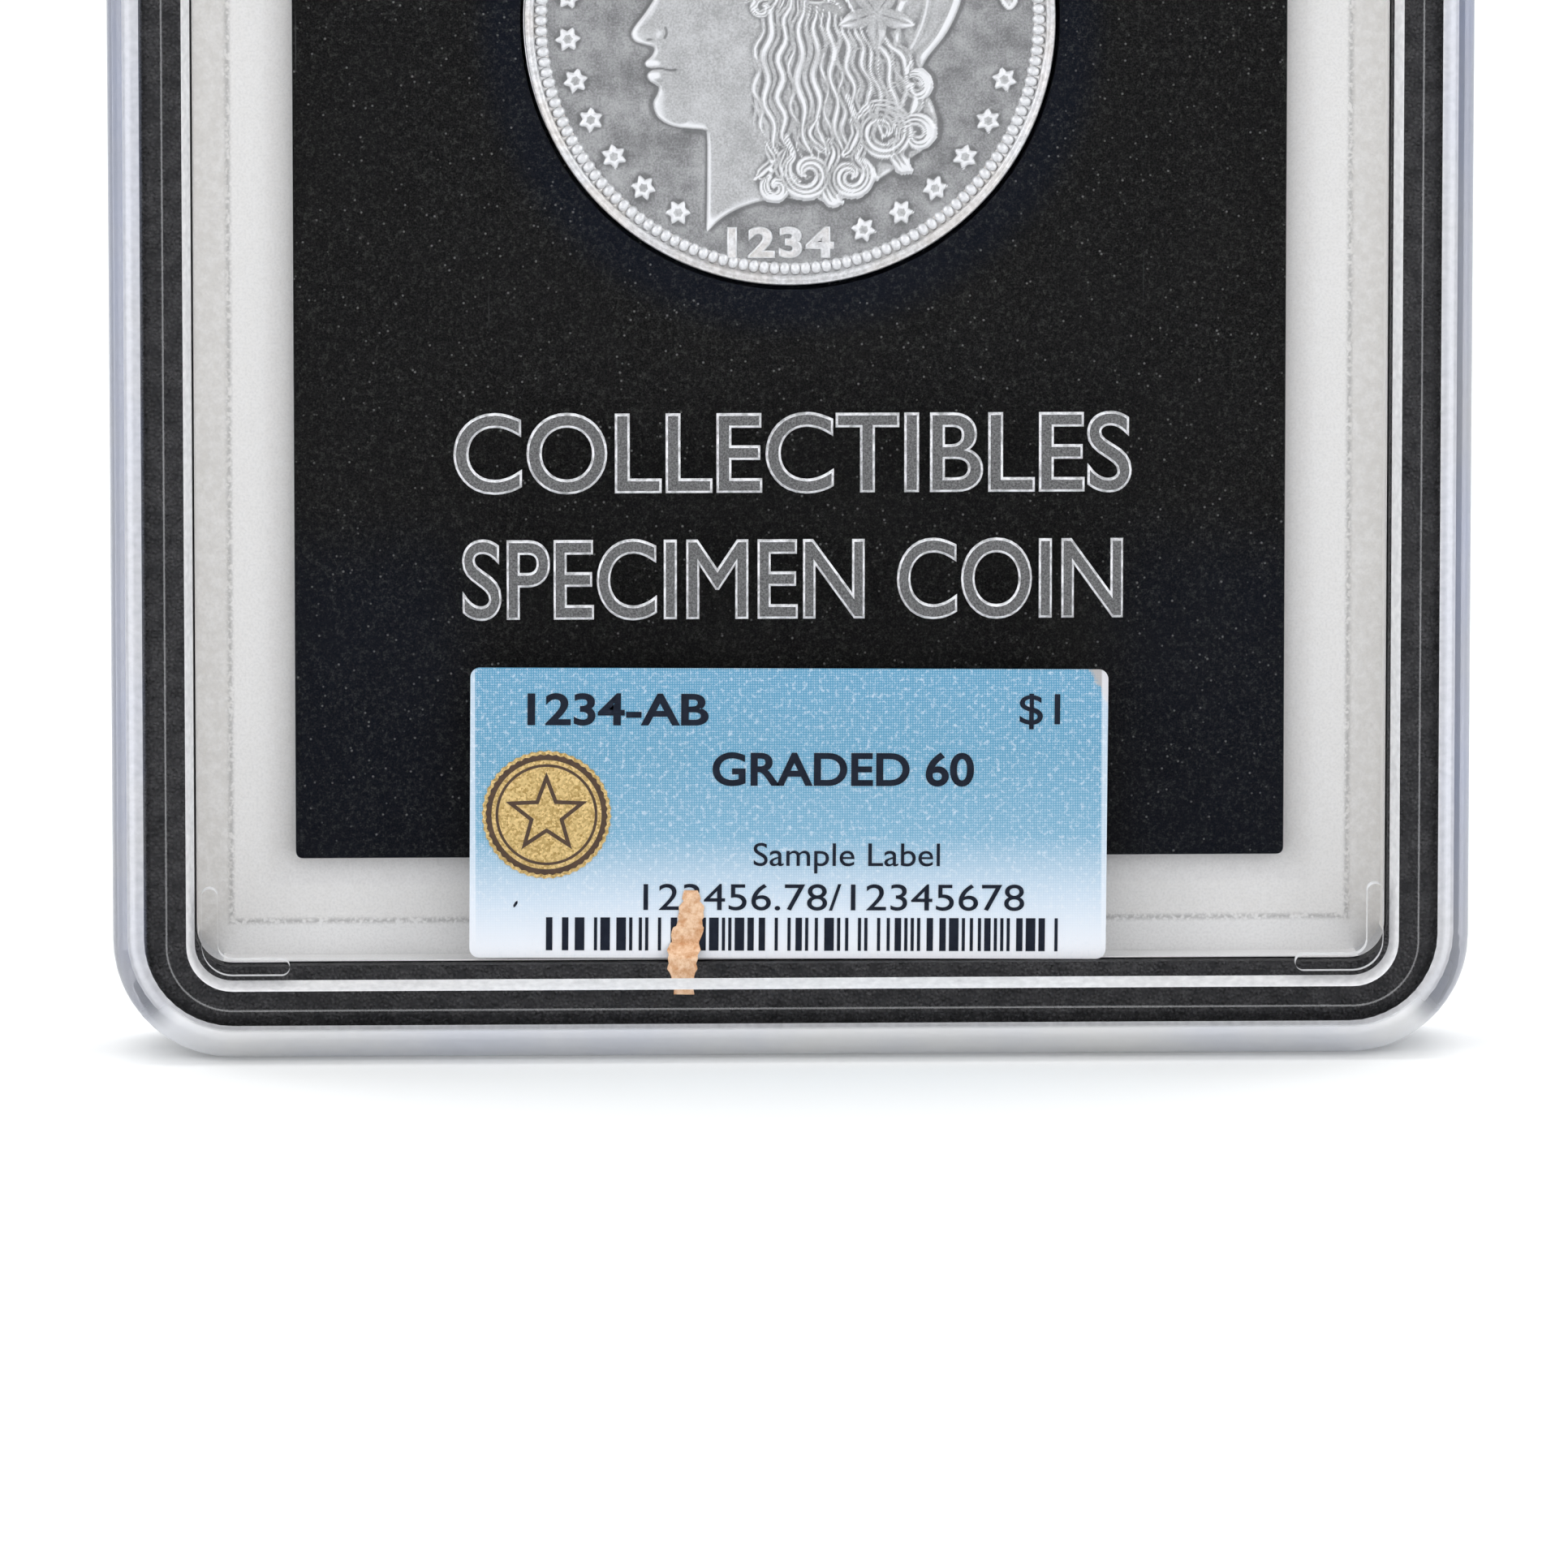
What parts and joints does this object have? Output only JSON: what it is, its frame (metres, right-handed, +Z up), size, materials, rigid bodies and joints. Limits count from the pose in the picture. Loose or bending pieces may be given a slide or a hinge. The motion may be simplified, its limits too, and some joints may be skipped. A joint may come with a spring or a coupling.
{
  "type": "graded coin slab",
  "caption": "Upright clear display slab with a stacking rim and corner lugs; a foam gasket inside holds a welded case with a black insert, a silver coin and a paper label.",
  "frame": {"origin": "middle of the slab's bottom edge, on the surface it stands on", "axes": "+Z up along the slab's height; -Y out of the front window; +X to the right as seen from the front; the coin's axis lies along Y"},
  "size_m": [0.0974, 0.019, 0.1485],
  "materials": {
    "clear_shell": "clear polished polystyrene",
    "clear_case": "clear polished polystyrene with a frosted border",
    "weld_plastic": "rough fused plastic",
    "gasket_foam": "fine pebbled closed-cell foam",
    "black_insert": "satin black",
    "coin_silver": "struck silver, frosted relief and bright rims",
    "label_paper": "printed semi-gloss paper",
    "gold_foil": "fine glittering foil"
  },
  "bodies": {
    "slab": {"outer_front_shell": "clear_shell", "outer_rear_shell": "clear_shell", "shell_weld_bead": "weld_plastic", "foam_gasket": "gasket_foam", "case_front": "clear_case", "case_rear": "clear_case", "case_weld_bead": "weld_plastic", "insert_plate": "black_insert", "grading_label": "label_paper", "foil_seal": "gold_foil"},
    "coin": {"coin": "coin_silver"}
  },
  "joints": [
    {"name": "coin_turn", "type": "hinge", "parent": "slab", "child": "coin", "pos_m": [0, 0.00085, 0.07425], "axis": [0, -1, 0], "continuous": true}
  ]
}
